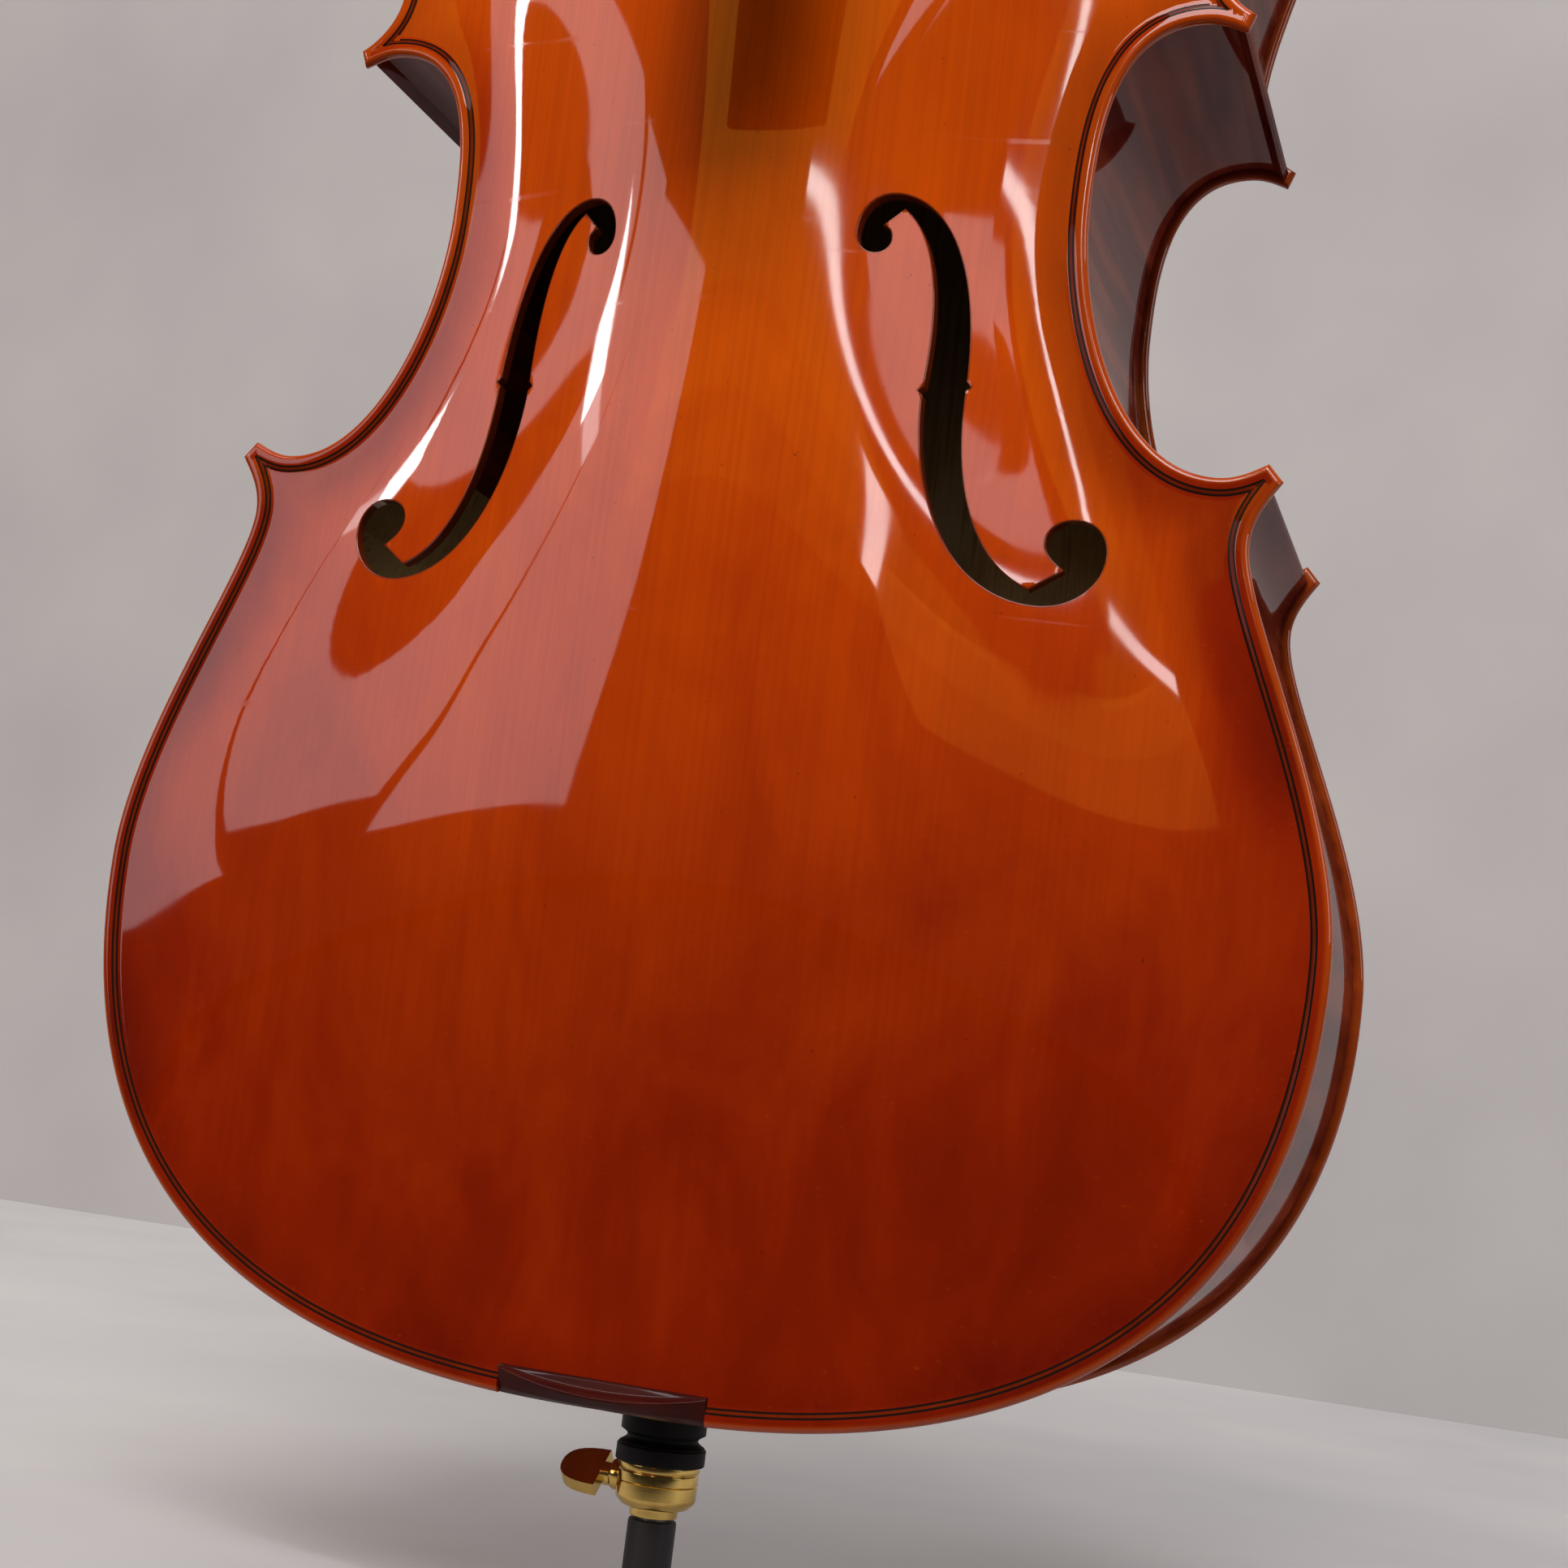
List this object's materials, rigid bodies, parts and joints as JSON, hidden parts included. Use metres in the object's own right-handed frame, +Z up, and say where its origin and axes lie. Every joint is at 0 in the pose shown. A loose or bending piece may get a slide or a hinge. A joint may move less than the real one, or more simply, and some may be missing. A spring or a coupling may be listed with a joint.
{
  "type": "cello",
  "caption": "Full-size cello without strings: arched sound box with f-holes, fitted neck, fingerboard, pegs, saddle and sliding endpin.",
  "frame": {"origin": "floor point of the endpin tip, with the rod pushed home", "axes": "+Z up the centreline of the body to the scroll, belly facing -Y, treble side +X"},
  "size_m": [0.44, 0.2388, 1.332],
  "materials": {
    "belly_varnish": "gloss varnish",
    "maple_varnish": "gloss varnish",
    "bare_spruce": "bare",
    "purfling": "gloss varnish",
    "saddle": "polished",
    "ebony": "polished",
    "plug": "matt",
    "brass": "polished",
    "rod_steel": "satin",
    "rubber": "matt"
  },
  "bodies": {
    "body": {"top_plate": "belly_varnish", "back_plate": "maple_varnish", "rib_lower_left": "maple_varnish", "rib_lower_right": "maple_varnish", "rib_center_left": "maple_varnish", "rib_center_right": "maple_varnish", "rib_upper_left": "maple_varnish", "rib_upper_right": "maple_varnish", "end_block": "bare_spruce", "neck_block": "bare_spruce", "block_lower_left": "bare_spruce", "block_lower_right": "bare_spruce", "block_upper_left": "bare_spruce", "block_upper_right": "bare_spruce", "lining_belly_lower_left": "bare_spruce", "lining_belly_lower_right": "bare_spruce", "lining_belly_center_left": "bare_spruce", "lining_belly_center_right": "bare_spruce", "lining_belly_upper_left": "bare_spruce", "lining_belly_upper_right": "bare_spruce", "lining_back_lower_left": "bare_spruce", "lining_back_lower_right": "bare_spruce", "lining_back_center_left": "bare_spruce", "lining_back_center_right": "bare_spruce", "lining_back_upper_left": "bare_spruce", "lining_back_upper_right": "bare_spruce", "bass_bar": "bare_spruce", "sound_post": "bare_spruce", "purfling_belly": "purfling", "purfling_back": "purfling", "saddle": "saddle", "neck_and_scroll": "maple_varnish", "fingerboard": "ebony", "nut": "ebony", "endpin_plug": "plug", "endpin_ferrule": "brass"},
    "endpin": {"endpin_rod": "rod_steel", "rod_stop": "rod_steel", "endpin_tip": "rubber"},
    "screw": {"thumb_screw": "brass"},
    "peg_c": {"peg_c": "ebony"},
    "peg_g": {"peg_g": "ebony"},
    "peg_d": {"peg_d": "ebony"},
    "peg_a": {"peg_a": "ebony"}
  },
  "joints": [
    {"name": "endpin_slide", "type": "slide", "parent": "body", "child": "endpin", "axis": [0, 0, -1], "range_m": [0, 0.36]},
    {"name": "thumb_screw_turn", "type": "hinge", "parent": "body", "child": "screw", "pos_m": [-0.025, 0, 0.0465], "axis": [-1, 0, 0], "range_deg": [0, 720]},
    {"name": "peg_c_turn", "type": "hinge", "parent": "body", "child": "peg_c", "pos_m": [0, -0.00245, 1.1383], "axis": [-1, 0, 0], "continuous": true},
    {"name": "peg_a_turn", "type": "hinge", "parent": "body", "child": "peg_a", "pos_m": [0, 0.00425, 1.1635], "axis": [1, 0, 0], "continuous": true},
    {"name": "peg_g_turn", "type": "hinge", "parent": "body", "child": "peg_g", "pos_m": [0, 0.01205, 1.1946], "axis": [-1, 0, 0], "continuous": true},
    {"name": "peg_d_turn", "type": "hinge", "parent": "body", "child": "peg_d", "pos_m": [0, 0.01715, 1.22213], "axis": [1, 0, 0], "continuous": true}
  ]
}
